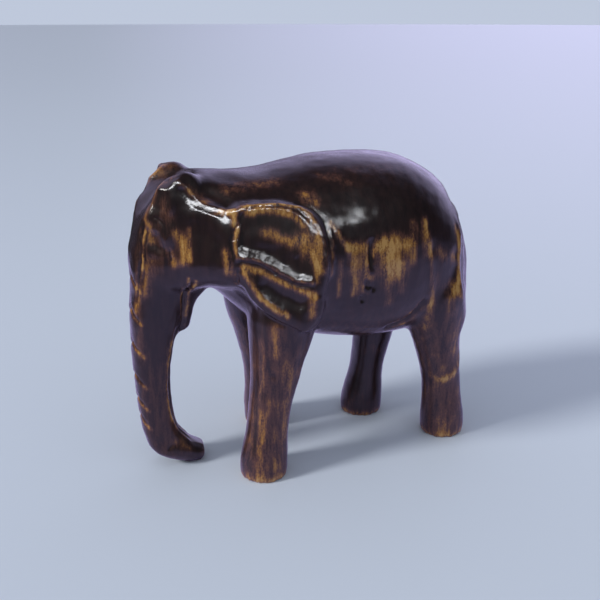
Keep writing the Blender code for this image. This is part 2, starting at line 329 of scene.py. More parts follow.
# %% The trunk and the jaw
TRUNK_HEIGHTS = (4, 12, 20, 30, 60, 75, 90)
TRUNK_FORWARD = (1.6, 2.5, 1.9, 1.2, 1.1, 1.0, 0)  # how far its front moves out at those heights
TIP_WIDENING, TIP_LENGTHENING, TIP_LOWERING = 0.28, 1.3, 0.9

depth = skin[:, 0] / MM
height = skin[:, 2] / MM
forward = np.interp(height, TRUNK_HEIGHTS, TRUNK_FORWARD)
skin[:, 0] -= forward * ease(-depth, 66, 82) * MM
in_tip = ease(-depth, 50, 56) * (1 - ease(height, 8, 15))
skin[:, 1] *= 1 + TIP_WIDENING * in_tip
skin[:, 0] += TIP_LENGTHENING * MM * in_tip * ease(depth, -66, -57)
skin[:, 2] -= TIP_LOWERING * MM * in_tip
push(skin, (-64, 0, 72), (6, 9, 7), (1.4, 0, -0.9), (LEFT,))
print("trunk and jaw shaped")

# %% The rump, the thighs and the legs
# the top of the rump goes in and the thigh behind comes out
push(skin, (70, -10, 125), (6, 9, 4), (-1.8, 0.6, 0))
push(skin, (75, -22, 65), (6, 9, 8), (2.2, -0.6, 0))
# the shoulder under the ear's rear edge comes out
push(skin, (-13, -38, 106), (13, 12, 24), (0, -3.2, 0))
# three of the legs go back a little
push(skin, (-19, -27, 42), (7, 14, 18), (0.9, 0, 0), (LEFT,))
push(skin, (30, -18, 30), (7, 12, 22), (1.3, 0, 0), (RIGHT,))
push(skin, (70, -22, 25), (7, 12, 20), (0.8, 0, 0), (LEFT,))
skin[:, 2] = np.maximum(skin[:, 2], 0)
print("rump and legs shaped")

# %% The flats of the head
for side in (LEFT, RIGHT):
    # the cheek, the side of the face and the temple
    flatten(skin, (-60, -23, 116), (-0.54, -0.84, 0.10), 13, 0.8, side)
    flatten(skin, (-76, -13, 120), (-0.80, -0.60, 0.05), 7, 0.6, side)
    flatten(skin, (-73, -13, 134), (-0.78, -0.60, 0.18), 6, 0.7, side)
for side in (LEFT, RIGHT):
    # the raised edge of the forehead, from the dome down to the root of the trunk
    press(skin, [(-67, -13, 144), (-72, -12, 138.5), (-76, -10.5, 132.5), (-80, -9, 126), (-83, -8, 115)],
          side, 2.6, -0.7, (0.1, 0.6))
# the channel between the domes
press(skin, [(-55, 0, 145), (-60, 0, 144), (-66, 0, 141), (-73, 0, 135.5), (-79, 0, 128), (-83, 0, 118)],
      LEFT, 5.0, 2.4, (0.4, 0.3))
skin, normals, finder = settle(elephant, even_out(skin, 2))
print("big shapes done")

# %% [markdown]
# ## The ears
#
# An ear is a low relief: a rolled rim on top, an upper fold that swells into a thick lip, and below the
# lip a sunken panel with a leaf-shaped gouge mark. It could be a thin sheet laid on the neck, but then a
# joint would show round it, and the real ears are one with the block. The strokes run from the rim down,
# on both sides.

# %% Easing a box of wood
def relax(places, low, high, times):
    """Evens out only the wood inside a box, given in millimetres, on both sides."""
    folded = np.column_stack([places[:, 0], -np.abs(places[:, 1]), places[:, 2]]) / MM
    inside = ((folded > low) & (folded < high)).all(axis=1)
    places[inside] = even_out(places, times)[inside]

print("easing ready")

# %% The rims, the folds and their lips
for side in (LEFT, RIGHT):
    # the groove round the ear: along the top and down the rear, the lower rear, and the lower front
    press(skin, [(-45, -29, 134), (-40, -29, 136), (-32, -30, 137), (-22, -31, 136), (-14, -32, 132),
                 (-8.5, -34, 126), (-7, -35, 118), (-6.8, -36, 108), (-7.5, -37, 100)], side, 0.9, 0.6)
    press(skin, [(-7.5, -37, 100), (-8.5, -38, 93), (-12, -39, 84), (-17, -40, 77)], side, 1.3, 0.8)
    press(skin, [(-46, -30, 99), (-41, -28, 91), (-36, -32, 84), (-28, -38, 79), (-19, -40, 76)],
          side, 1.2, 0.9)
    # the rolled rim and the swell of the upper fold
    press(skin, [(-53, -25, 130.5), (-49, -27, 131), (-45, -30, 132), (-40, -30, 134), (-32, -31, 134.8),
                 (-23, -32, 133.8), (-17, -33, 130.8), (-12, -34, 125.5), (-10, -36, 119), (-9.2, -37, 111),
                 (-9.6, -38, 102), (-11.5, -39, 95)], side, 1.4, -0.7)
    press(skin, [(-43, -32, 121), (-33, -34, 119), (-23, -35, 115.5), (-17, -36, 111)], side, 3.6, -0.5)
    # the fold's lip, which gets thinner to the rear
    lip(skin, [(-46.5, -32, 111), (-40, -34, 110.2), (-34, -35, 107.4), (-28, -36, 103.6), (-21, -38, 100),
               (-13.5, -39, 98.5)], side,
        (2.0, 2.1, 2.0, 1.95, 1.85, 1.75), (4.8, 4.4, 4.0, 3.8, 3.6, 3.4), 0.2)
    # the leaf-shaped gouge mark in the panel
    press(skin, [(-38, -34, 103), (-34, -36, 98.5), (-29, -37, 94.5), (-22, -38.5, 91), (-17, -39, 89)],
          side, 3.2, 1.2, (0.25, 0.1))
relax(skin, (-56, -50, 74), (-2, -20, 138), 2)
skin, normals, finder = settle(elephant, skin)
print("ear folds shaped")

# %% The fine lines of the ears
for side in (LEFT, RIGHT):
    # the front edge of the fold, with a small roll between two grooves, and a short groove below it
    press(skin, [(-43, -30, 132), (-43.4, -32, 122), (-43.4, -32, 114)], side, 0.55, 0.8)
    press(skin, [(-44, -31, 127.5), (-47, -31, 122), (-48.4, -32, 117), (-47.5, -33, 110)], side, 0.7, 0.8)
    press(skin, [(-44.8, -31, 125), (-46.3, -32, 119), (-46.2, -33, 112)], side, 0.9, -0.5)
    press(skin, [(-46, -33, 107), (-45.4, -29, 99)], side, 0.7, 0.8)
    # a line and a bead along the inside of the rim
    press(skin, [(-43, -31, 131.6), (-36, -31, 132.7), (-28, -32, 132.4), (-21, -33, 130.6),
                 (-15.5, -34, 126.5), (-12.6, -35, 121)], side, 0.6, 0.45)
    press(skin, [(-42, -31, 130.2), (-36, -31, 131.2), (-28, -32, 130.8), (-21, -33, 129.2),
                 (-16.5, -34, 125)],
          side, 1.0, -0.45)
    # the undercut of the lip
    press(skin, [(-46, -33, 110), (-40, -35, 109), (-34, -36, 106.1), (-28, -37, 102.3), (-21, -38, 98.8),
                 (-14, -39, 97.4)], side, 0.6, 0.7, (0.05, 0.1))
    # the raised front edge of the panel, a bead behind the ear, and the panel's rear corner
    press(skin, [(-43.5, -33, 107), (-41.5, -35, 102), (-37.5, -36, 94.5), (-31.5, -38, 88.5),
                 (-25, -39, 84.5)], side, 1.3, -0.6)
    press(skin, [(-5, -34, 122), (-4.5, -35, 114), (-5, -36, 106), (-6, -37, 100)], side, 0.8, -0.5)
    press(skin, [(-13, -39, 93), (-14, -40, 85)], side, 1.6, -0.4)
print("ears cut")

# %% [markdown]
# ## The head
#
# A ridge runs back from each dome and meets the rim of the ear. In front of it the cheek is flat, with
# a brow, an eye hollow and a pair of fine grooves down the edge of the face. A bead of glass could stand
# for the eye, but the carver only left a small swell between two cuts, so the eye is cut like the rest.

# %% Ridges, brows and eyes
for side in (LEFT, RIGHT):
    # the ridge, and the narrow bevel planed along it
    press(skin, [(-67, -13.5, 143), (-64, -16.5, 139.5), (-61, -19.5, 136), (-58, -22, 133),
                 (-54, -25, 131.3), (-49, -27, 130.8), (-45, -30, 131.2)],
          side, 1.7, -0.9, (0.05, 0.1))
    for place in on_surface([(-65, -17, 138.6), (-63, -19, 136.6), (-61, -20.5, 134.6), (-58.5, -22, 133),
                             (-56, -24, 131.8), (-53, -25.5, 130.8), (-50, -27, 130.2)], side):
        flatten(skin, np.array(place) / MM * (1, -side, 1), (-0.43, -0.74, 0.515), 1.6, 0.7, side)
    # the flat in front of the dome, and the brow
    flatten(skin, (-70.5, -13.5, 141), (-0.55, -0.35, 0.76), 3.5, 0.8, side)
    press(skin, [(-78, -6, 133), (-76, -11, 130.5), (-73, -14, 129), (-71, -16, 126), (-70.5, -16.5, 120)],
          side, 0.8, -0.1)
    # the lid's groove, the swell of the eye, the hollow under it and a short groove in the cheek
    press(skin, [(-76.5, -11, 127.5), (-74, -13, 126.3), (-72.4, -15, 123), (-72.2, -15.5, 118)],
          side, 0.6, 0.5)
    press(skin, [(-77.5, -11.5, 125), (-76.5, -12.5, 122)], side, 2.2, -0.3, (0, 0))
    press(skin, [(-77, -12, 118.5), (-75, -13.5, 114)], side, 2.4, 1.2, (0, 0))
    press(skin, [(-72, -16, 114), (-71, -16, 108)], side, 0.7, 0.6)
print("ridges, brows and eyes cut")

# %% The grooves of the face and the mouth
for side in (LEFT, RIGHT):
    # the pair of grooves down the edge of the face
    press(skin, [(-80, -9, 127), (-82, -9, 117), (-83, -9, 107), (-85, -7, 94), (-86, -5, 84)],
          side, 0.7, 0.9)
    press(skin, [(-79, -10.5, 124), (-81, -10.5, 115), (-82, -10.5, 105), (-83.6, -9, 94)], side, 0.6, 0.7)
    # the mouth, and the raised edge in front of it
    press(skin, [(-62.5, -21, 101), (-64, -12, 92), (-65, -5, 81), (-66, -2, 71)], side, 1.1, 1.6, (0.2, 0))
    press(skin, [(-65.5, -16, 99), (-66, -9, 89), (-66.5, -4, 76)], side, 0.8, -0.5)
print("face and mouth cut")

# %% [markdown]
# ## The trunk
#
# Short slanted cuts on the front stand for the folds of the skin. The inner corner is a narrow raised
# edge with a shallow groove behind it, and the tip has one shallow nostril. An array modifier could space
# the folds evenly, but a carver's spacing isn't even, so each has its own height.

# %% The trunk's folds, its inner corner and its tip
FOLD_HEIGHTS = (97, 81, 64.5, 48.5, 36.5, 27)
for side in (LEFT, RIGHT):
    for height in FOLD_HEIGHTS:
        press(skin, [(-88, 0, height + 3), (-86.5, -4, height), (-84, -7.5, height - 3.5)], side, 0.65, 0.9,
              (0, 0.5))
    # the inner corner: its edge, and the groove behind it
    press(skin, [(-67, -8, 88), (-70.8, -6, 67), (-73.6, -5.5, 52), (-74.5, -5.5, 40), (-72.5, -5, 26),
                 (-67, -4, 16), (-62, -4, 9)], side, 0.7, -0.5)
    press(skin, [(-65.5, -5, 85), (-69, -4.5, 67), (-71.5, -4, 52), (-72.3, -4, 40), (-70.5, -4, 27),
                 (-65, -3, 18), (-60, -3, 11)], side, 1.2, 0.8)
    # a nick where the tip turns, and then the nostril
    press(skin, [(-73, -6, 14), (-76, -5, 10)], side, 0.5, 0.5)
press(skin, [(-57, -2, 4.5), (-57, 2, 4.5)], LEFT, 1.6, 1.4, (0, 0))
print("trunk cut")

# %% [markdown]
# ## The body and the legs
#
# The belly hangs over the thigh with a sharp crease. A facet edge runs down the rear flank, another marks
# the edge of the rump, and the timber has opened in one long check and a few small knots. A dark mark in
# the colour would be enough for these from afar, but a real cut also catches the light on its edge.

# %% Creases, facets and the faults of the timber
CREASE = [(48, -32, 82), (44, -31, 76), (40, -29, 71), (35, -28, 68), (28, -26, 66)]
for side in (LEFT, RIGHT):
    press(skin, CREASE, side, 1.2, 2.2)
    # the facet edge of the flank, the edge of the rump and the hollow behind that
    press(skin, [(41.5, -33, 124), (44, -34, 117), (46, -35, 108), (48, -34, 94), (51, -31, 75)],
          side, 1.0, -0.45)
    press(skin, [(66, -23, 119), (67, -25, 108), (66, -27, 98), (66, -28, 85), (67, -27, 72)],
          side, 1.6, -0.8)
    press(skin, [(73, -17, 117), (75, -18, 105), (76, -18, 92), (76, -18, 78)], side, 4.0, 1.0)
    # the swell of the hock, and a slanting edge behind the ear
    press(skin, [(73, -22, 56), (73, -23, 46), (70, -25, 38), (65, -27, 34.5), (58, -25, 34)],
          side, 1.8, -0.5)
    press(skin, [(-3, -34, 121), (0, -35, 117), (3, -36, 113), (4.5, -37, 108)], side, 1.0, -0.5)

CHECK = [(15, -36, 116), (14.4, -37, 108), (15.2, -37, 99)]
KNOTS = [[(x, -37, top), (x + 0.8, -37, bottom)]
         for x, top, bottom in ((13, 95, 91), (16, 93, 90), (11, 87, 84))]
press(skin, CHECK, LEFT, 0.9, 1.9, (0.3, 0.4))
# two knife lines on the left foreleg
press(skin, [(-36, -27, 72), (-36.5, -27, 52), (-37, -29, 32), (-39, -31, 12)], LEFT, 0.8, 0.5)
press(skin, [(-31.5, -33, 56), (-30, -33, 52.5)], LEFT, 0.6, 0.8)
for knot in KNOTS:
    press(skin, knot, LEFT, 0.8, 1.2, (0, 0.3))
print("body cut")

# %% [markdown]
# Hand-worked wood is never quite even. A displace modifier with a cloud texture would do this too, but it
# would also lift the soles, so the noise is added here and the soles are cut flat after it.

# %% Hand-worked unevenness and flat soles
from mathutils import noise

BROAD_WAVES, BROAD_HEIGHT = 14 * MM, 0.35 * MM
SMALL_WAVES, SMALL_HEIGHT = 4 * MM, 0.15 * MM

def wander(places, size, seed):
    """Smooth noise of that grain size, from -1 to 1, the same on every run."""
    shift = Vector((seed * 7.3, seed * 3.1, seed * 5.7))
    return np.array([noise.noise(Vector(place / size) + shift) for place in places])

unevenness = BROAD_HEIGHT * wander(skin, BROAD_WAVES, 1) + SMALL_HEIGHT * wander(skin, SMALL_WAVES, 2)
skin += normals * unevenness[:, None]
sole = (skin[:, 2] < 1.0 * MM) & (normals[:, 2] < -0.6)
skin[sole, 2] = 0
skin[:, 2] = np.maximum(skin[:, 2], 0)
skin, normals, finder = settle(elephant, even_out(skin, 1))
active_only(elephant)
bpy.ops.object.shade_smooth()
print("surface finished, lowest point", round(float(skin[:, 2].min()) / MM, 2), "mm")

# %% [markdown]
# ## Where the stain is rubbed through
#
# The wood is stained nearly black and then rubbed. Rubbing reaches the high spots first, and the carver
# rubs some places more. So the wear is the sum of three things: how much a spot stands out from what is
# around it, a few rubbed strokes, and streaks along the grain, which are left to the material. The sum
# could be painted on an image, but a number on each vertex needs no unwrapping and follows every cut.

# %% High and low spots
def standing_out(times):
    """How far each spot stands out from the evened-out surface round it, in millimetres."""
    return np.einsum("ij,ij->i", skin - even_out(skin, times), normals) / MM

fine_relief = standing_out(5)
broad_relief = standing_out(30)
print("relief from", round(float(broad_relief.min()), 2), "to", round(float(broad_relief.max()), 2), "mm")

# %% The cloth
EDGE_WEAR, SWELL_WEAR = 0.40, 0.10
RUBBING = 1.2

rubbed = EDGE_WEAR * ease(fine_relief, 0.07, 0.25) + SWELL_WEAR * ease(broad_relief, 0.4, 1.2)

def rub(points, width, strength, side=LEFT):
    """A patch where the cloth has passed often; a negative strength keeps the stain."""
    near, distance, _, _ = measure(skin, on_surface(points, side), 2.6 * width * MM)
    rubbed[near] += RUBBING * strength * bell(distance, width * MM)

print("spots worn by relief alone", int((rubbed > 0.3).sum()))

# %% The ears are rubbed
for side in (LEFT, RIGHT):
    # the rim, the patches of the fold, the band under its lip and the rim of the panel
    rub([(-52, -25, 130), (-46, -29, 131), (-40, -30, 133), (-31, -31, 133.7), (-22, -32, 132.5),
         (-16, -33, 129), (-12, -35, 122), (-10.5, -37, 113), (-10.5, -38, 103)], 1.7, 0.50, side)
    rub([(-41, -31, 130), (-31, -32, 130.5), (-23, -33, 128.5), (-17, -35, 124)], 1.5, 0.50, side)
    rub([(-18, -36, 118), (-14.5, -37, 111)], 3.6, 0.60, side)
    rub([(-12.5, -38, 107), (-13, -39, 100)], 1.7, 0.45, side)
    rub([(-34, -33, 122), (-27, -34, 118.5), (-22, -35, 116.5)], 2.4, 0.42, side)
    rub([(-44, -33, 107.5), (-36, -35, 104.5), (-28, -36, 100), (-21, -38, 96.4), (-14, -39, 94)],
        1.5, 0.60, side)
    rub([(-43.5, -34, 106), (-41.5, -35, 101), (-37.5, -36, 94.5), (-31.5, -38, 88.5), (-26, -39, 85)],
        1.4, 0.60, side)
    rub([(-14, -39, 92), (-15, -40, 84)], 1.6, 0.50, side)
    rub([(-45.8, -31, 125), (-46.6, -32, 119), (-46.4, -32, 113)], 1.1, 0.55, side)
    rub([(-46.3, -32, 105), (-46, -30, 99)], 0.9, 0.45, side)
    rub([(-6, -35, 120), (-5, -36, 110), (-6, -37, 101)], 0.8, 0.40, side)
print("ears rubbed", int((rubbed > 0.5).sum()))

# %% The cheek and the face are rubbed
for side in (LEFT, RIGHT):
    rub([(-68, -18, 121), (-66, -20, 114), (-66, -20, 108)], 2.3, 0.50, side)
    rub([(-63.5, -21, 123), (-64, -21, 109)], 1.1, 0.42, side)
    rub([(-71, -15, 113), (-70, -17, 106)], 1.7, 0.38, side)
    rub([(-50, -30, 114), (-49.5, -31, 105)], 1.9, 0.55, side)
    rub([(-46.5, -29, 130), (-46, -30, 126)], 1.5, 0.50, side)
    rub([(-79, -11, 124), (-78, -12, 117)], 1.8, 0.45, side)
    rub([(-81, -10, 121), (-82.5, -10, 104)], 1.1, 0.42, side)
    rub([(-79, -11, 108), (-82, -9, 92)], 2.2, 0.28, side)
    rub([(-85, -7, 95), (-86, -5, 82)], 1.5, 0.32, side)
    rub([(-64, -19, 101), (-65, -10, 91), (-67, -3, 76)], 0.8, 0.50, side)
    rub([(-61.5, -21, 99), (-62.5, -12, 89), (-64, -4, 76)], 0.7, 0.45, side)
    rub([(-72, -13, 134), (-70, -15, 128)], 2.8, 0.22, side)
    rub([(-74, -14, 124), (-76, -12, 104)], 4.0, 0.12, side)
    rub([(-84, -8, 112), (-86, -6, 62)], 2.2, 0.14, side)
    rub([(-62, -17, 139), (-55, -21, 135)], 2.4, 0.25, side)
    rub([(-67, -12, 143.5), (-72, -11, 139), (-76, -10, 133), (-80, -9, 126)], 1.3, 0.30, side)
print("head rubbed", int((rubbed > 0.5).sum()))

# %% [markdown]
# On the flank the cloth left one broad patch behind the ear, and streaks hang from it along the grain. A
# rubbed edge follows each facet further back.

# %% The flank is rubbed
for side in (LEFT, RIGHT):
    # a slanting stroke, the main patch and its streaks, and then the edges of the facets
    rub([(-4, -34, 123), (-1, -35, 118), (3, -37, 112)], 1.5, 0.50, side)
    rub([(4, -36, 112), (12, -37, 112), (19, -37, 112)], 2.6, 0.45, side)
    rub([(20, -37, 112), (26, -37, 112), (32, -37, 111)], 3.8, 0.58, side)
    rub([(6, -37, 111), (7, -36, 90)], 1.8, 0.42, side)
    rub([(9, -37, 104), (30, -37, 100)], 7.0, 0.16, side)
    rub([(50, -32, 92), (50, -31, 78)], 3.0, 0.16, side)
    rub([(22, -37, 105), (25, -36, 83)], 2.4, 0.30, side)
    rub([(29, -37, 103), (31, -35, 88)], 1.6, 0.32, side)
    rub([(13, -37, 108), (13, -37, 92)], 3.0, 0.40, side)
    rub([(24, -37, 106), (27, -37, 98)], 4.6, 0.36, side)
    rub([(0, -36, 106), (-1, -36, 90)], 1.3, 0.30, side)
    rub([(36, -35, 120), (37, -36, 101)], 1.5, 0.42, side)
    rub([(42, -34, 118), (45, -35, 104)], 2.4, 0.42, side)
    rub([(43, -33, 121), (48, -34, 94), (51, -31, 76)], 0.9, 0.32, side)
    rub([(51, -33, 104), (57, -32, 101), (62, -29, 99)], 2.6, 0.38, side)
    rub([(63, -26, 113), (66, -27, 107), (66, -29, 92), (64, -31, 82)], 1.6, 0.52, side)
    rub([(60, -31, 86), (63, -31, 81)], 3.0, 0.42, side)
    rub([(60, -30, 79), (62, -30, 71)], 2.8, 0.24, side)
print("flank rubbed", int((rubbed > 0.5).sum()))

# %% The legs and the trunk are rubbed
for side in (LEFT, RIGHT):
    rub([(67, -28, 64), (69, -27, 50)], 3.4, 0.20, side)
    rub([(-36, -32, 34), (-37, -33, 20), (-38, -35, 5)], 2.0, 0.20, side)
    rub([(-31, -34, 25), (-31, -35, 8)], 1.6, 0.14, side)
    rub([(-24, -33, 60), (-24, -33, 42)], 2.4, 0.20, side)
    rub([(-26, -33, 40), (-25, -33, 22)], 1.8, 0.18, side)
    rub([(-30, -34, 78), (-30, -34, 66)], 3.2, 0.24, side)
    rub([(-35, -30, 70), (-35, -30, 46)], 1.6, 0.18, side)
    rub([(72, -24, 50), (72, -25, 42), (67, -28, 35.5), (61, -27, 33.5), (58, -24, 36)], 1.5, 0.26, side)
    rub([(50, -33, 81), (50, -30, 74), (50, -28, 64)], 1.6, 0.34, side)
    rub(CREASE, 1.3, -0.7, side)
    rub([(62, -28, 10), (66, -28, 3)], 2.2, 0.20, side)
for height in FOLD_HEIGHTS:
    rub([(-88, 1, height + 2.6), (-86.5, -4, height - 0.9), (-84, -7.5, height - 4.4)], 0.7, 0.40)
# the inner edge of the trunk and its tip
rub([(-71, -7, 66), (-74, -6, 46), (-72, -5, 26)], 1.0, 0.26)
rub([(-72, -6, 14), (-66, -5, 9)], 1.6, 0.20)
print("legs and trunk rubbed", int((rubbed > 0.5).sum()))

# %% [markdown]
# The patches on the dome and the back, the check and the knots are on one side only. The legs are worn all
# over but little. The far hind leg gets hardly any of that wear, so it stays darker as painted shade: it
# stands in the shade under the belly. Last, the stain is kept in every fine cut. A pointiness node could
# find the cuts, but only in one renderer.

# %% Patches on the back, painted shade on the far hind leg, and what the fine cuts keep dark
LIMB_WEAR, TRUNK_WEAR = 0.22, 0.12
# FAR_LEG_SHADE is the share of the legs' wear that the far hind leg loses, which keeps it dark as painted
# shade
FAR_LEG_SHADE, KEPT_IN_CUTS = 0.8, 0.8

rub([(-69, 10, 142), (-64, 12, 144)], 5.0, 0.22)
rub([(-46, -18, 139), (-36, -18, 141), (-24, -18, 142)], 3.6, 0.26)
rub([(-13, -27, 135), (-10, -29, 131)], 3.4, 0.36)
rub([(5, -20, 142), (30, -20, 142)], 5.0, 0.09)
rub([(-4, -20, 141), (10, -26, 137)], 2.4, 0.16)
rub(CHECK, 1.0, -1.2)
for knot in KNOTS:
    rub(knot, 1.0, -1.0)
limb = (1 - ease(skin[:, 2] / MM, 55, 85)) * ease(skin[:, 0] / MM, -60, -50)
trunk = ease(-skin[:, 0] / MM, 60, 70) * (1 - ease(skin[:, 2] / MM, 40, 90))
# painted shade: the far hind leg stands in the shade under the belly, so its colour is kept darker
shaded_far_rear = (skin[:, 1] > 5 * MM) & (skin[:, 0] > 20 * MM)
rubbed += LIMB_WEAR * limb * (1 - FAR_LEG_SHADE * shaded_far_rear) + TRUNK_WEAR * trunk
keep_dark = ease(-fine_relief, 0.02, 0.14)
rubbed = np.clip(rubbed, 0, 1) * (1 - KEPT_IN_CUTS * keep_dark)

def store(name, values):
    """Writes one number for each vertex, for the material to read."""
    layer = elephant.data.attributes.new(name, "FLOAT", "POINT")
    layer.data.foreach_set("value", np.asarray(values, dtype=np.float32))

store("rubbed", even_out(rubbed, 1))
print("attributes", [layer.name for layer in elephant.data.attributes if layer.data_type == "FLOAT"])

# %% [markdown]
# ## Lacquered wood
#
# Three layers show: the wood with its grain, a dark stain over it, and a clear lacquer on top. The first
# two are one colour that follows the wear, and the lacquer is the shader's coat. A glossy shader mixed in
# would look much the same, but the coat dims what lies under it by itself. Its gloss is nearly sharp, so
# the pale table shows in it as a soft veil on the upright faces. Most of the noise is drawn out along the
# upright grain, which a smaller scale along Z does.

# %% A helper for nodes
def new_material(name):
    material = bpy.data.materials.new(name)
    material.use_nodes = True
    material.node_tree.nodes.clear()
    return material

class Tree:
    """Adds nodes to a material and joins them by the sockets' names."""

    def __init__(self, material):
        self.tree = material.node_tree

    def add(self, kind, **settings):
        node = self.tree.nodes.new("ShaderNode" + kind)
        for name, value in settings.items():
            if name in node.inputs:
                node.inputs[name].default_value = value
            else:
                setattr(node, name, value)
        return node

    def join(self, source, output, target, name):
        self.tree.links.new(source.outputs[output], target.inputs[name])

    def noise(self, place, stretch, scale, detail=3.0, roughness=0.55):
        """Noise on object coordinates; the stretch is along X, Y and Z."""
        mapping = self.add("Mapping")
        mapping.inputs["Scale"].default_value = stretch
        self.join(place, "Object", mapping, "Vector")
        pattern = self.add("TexNoise")
        pattern.inputs["Scale"].default_value = scale
        pattern.inputs["Detail"].default_value = detail
        pattern.inputs["Roughness"].default_value = roughness
        self.join(mapping, "Vector", pattern, "Vector")
        return pattern

    def remap(self, source, output, low, high, to_low=0.0, to_high=1.0):
        node = self.add("MapRange")
        node.inputs["From Min"].default_value = low
        node.inputs["From Max"].default_value = high
        node.inputs["To Min"].default_value = to_low
        node.inputs["To Max"].default_value = to_high
        self.join(source, output, node, "Value")
        return node

    def maths(self, operation, a, a_out, b=None, b_out=None, value=0.5):
        node = self.add("Math", operation=operation)
        self.tree.links.new(a.outputs[a_out], node.inputs[0])
        if b is None:
            node.inputs[1].default_value = value
        else:
            self.tree.links.new(b.outputs[b_out], node.inputs[1])
        return node

    def ramp(self, source, output, stops):
        node = self.add("ValToRGB")
        elements = node.color_ramp.elements
        while len(elements) < len(stops):
            elements.new(0.5)
        for element, (place, colour) in zip(elements, stops):
            element.position = place
            element.color = (*colour, 1)
        self.join(source, output, node, "Fac")
        return node

print("node helper ready")

# %% The lacquered wood itself
STAIN_BLACK = (0.0055, 0.0030, 0.0042)
STAIN_BROWN = (0.024, 0.0098, 0.0085)
RUBBED_BROWN = (0.090, 0.036, 0.024)
HONEY = (0.290, 0.130, 0.030)
PALE_HONEY = (0.460, 0.260, 0.080)
WOOD_ROUGHNESS, LACQUER_ROUGHNESS = 0.45, 0.08
LACQUER_INDEX = 1.5
BUMP_STRENGTH, BUMP_HEIGHT = 0.25, 0.25 * MM
STREAK_SCALE, PATCH_SCALE, SPECK_SCALE = 420, 75, 1400
BUMP_SCALE, GRAIN_SCALE, ORANGE_PEEL_SCALE = 900, 700, 2600
FAINT_STREAKS = 0.12  # how much of the streaks shows where nothing is rubbed

wood = new_material("lacquered wood")
tree = Tree(wood)
place = tree.add("TexCoord")
wear = tree.add("Attribute", attribute_name="rubbed", attribute_type="GEOMETRY")

streaks = tree.noise(place, (1.0, 1.0, 0.16), STREAK_SCALE, 4.0, 0.6)
patches = tree.noise(place, (1.0, 1.0, 0.55), PATCH_SCALE, 3.0, 0.6)
specks = tree.noise(place, (1.0, 1.0, 0.6), SPECK_SCALE, 2.0, 0.6)
streak_part = tree.remap(streaks, "Fac", 0.32, 0.68, 0.40, 1.35)
patch_part = tree.remap(patches, "Fac", 0.3, 0.7, -0.20, 0.35)
speck_part = tree.remap(specks, "Fac", 0.3, 0.7, -0.28, 0.28)
share = tree.maths("ADD", streak_part, "Result", patch_part, "Result")
share = tree.maths("ADD", share, "Value", speck_part, "Result")
level = tree.maths("MULTIPLY", share, "Value", wear, "Fac")
faint = tree.maths("MULTIPLY", streak_part, "Result", value=FAINT_STREAKS)
level = tree.maths("ADD", level, "Value", faint, "Value")
colour = tree.ramp(level, "Value", [
    (0.00, STAIN_BLACK), (0.20, STAIN_BROWN), (0.42, RUBBED_BROWN), (0.68, HONEY), (1.00, PALE_HONEY)])

bumps = tree.noise(place, (1.0, 1.0, 0.5), BUMP_SCALE, 3.0, 0.6)
grain = tree.noise(place, (1.0, 1.0, 0.08), GRAIN_SCALE, 3.0, 0.6)
relief = tree.maths("ADD", bumps, "Fac", grain, "Fac")
orange_peel = tree.noise(place, (1.0, 1.0, 1.0), ORANGE_PEEL_SCALE, 2.0, 0.6)
relief = tree.maths("ADD", relief, "Value", orange_peel, "Fac")
bump = tree.add("Bump")
bump.inputs["Strength"].default_value = BUMP_STRENGTH
bump.inputs["Distance"].default_value = BUMP_HEIGHT
tree.join(relief, "Value", bump, "Height")

shader = tree.add("BsdfPrincipled")
shader.inputs["Roughness"].default_value = WOOD_ROUGHNESS
shader.inputs["IOR"].default_value = LACQUER_INDEX
shader.inputs["Specular IOR Level"].default_value = 0.12
shader.inputs["Coat Weight"].default_value = 1.0
shader.inputs["Coat Roughness"].default_value = LACQUER_ROUGHNESS
shader.inputs["Coat IOR"].default_value = LACQUER_INDEX
tree.join(colour, "Color", shader, "Base Color")
tree.join(bump, "Normal", shader, "Normal")
tree.join(bump, "Normal", shader, "Coat Normal")
output = tree.add("OutputMaterial")
tree.join(shader, "BSDF", output, "Surface")
elephant.data.materials.append(wood)
print("material", wood.name, "with", len(wood.node_tree.nodes), "nodes")

# %% [markdown]
# ## The studio
#
# A wide pale floor fills the view. The lacquer mirrors only the part of it near the figure, as a table
# would be mirrored, so the upright faces get a soft veil that ends in a clear line. Over the floor the
# mirrored room is dark, except a pale wall on the far side, which lights the edge of the back, and a
# fainter patch of it, the door, which lights the forehead. Real walls would do this as well, but then they
# would have to be kept out of the camera's way, and the room's light only has to look right in the lacquer.

# %% The floor
FLOOR_RADIUS = 12.0
TABLE_RADIUS = 0.42  # the part of the floor that the lacquer mirrors, round its own centre
TABLE_CENTRE = (0.12, 0.0, 0.0)
FLOOR_ROUGHNESS = 0.3
FLOOR_COLOUR = (0.63, 0.70, 0.81)
MIRRORED_COLOUR = (0.58, 0.50, 0.86)
BEYOND_TABLE = (0.03, 0.03, 0.035)
TABLE_EDGE = 0.05  # over this distance the mirrored table fades out

bpy.ops.object.select_all(action="DESELECT")
bpy.ops.mesh.primitive_circle_add(vertices=128, radius=FLOOR_RADIUS, fill_type="NGON", location=(0, 0, 0))
floor = bpy.context.object
floor.name = "floor"
floor_finish = new_material("pale table")
tree = Tree(floor_finish)
place = tree.add("TexCoord")
span = tree.add("VectorMath", operation="DISTANCE")
span.inputs[1].default_value = TABLE_CENTRE
tree.join(place, "Object", span, "Vector")
beyond = tree.remap(span, "Value", TABLE_RADIUS, TABLE_RADIUS + TABLE_EDGE)
rays = tree.add("LightPath")
mirrored = tree.ramp(beyond, "Result", [(0.0, MIRRORED_COLOUR), (1.0, BEYOND_TABLE)])
colour = tree.add("MixRGB")
colour.inputs["Color1"].default_value = (*FLOOR_COLOUR, 1)
tree.join(mirrored, "Color", colour, "Color2")
tree.join(rays, "Is Glossy Ray", colour, "Fac")
shader = tree.add("BsdfPrincipled")
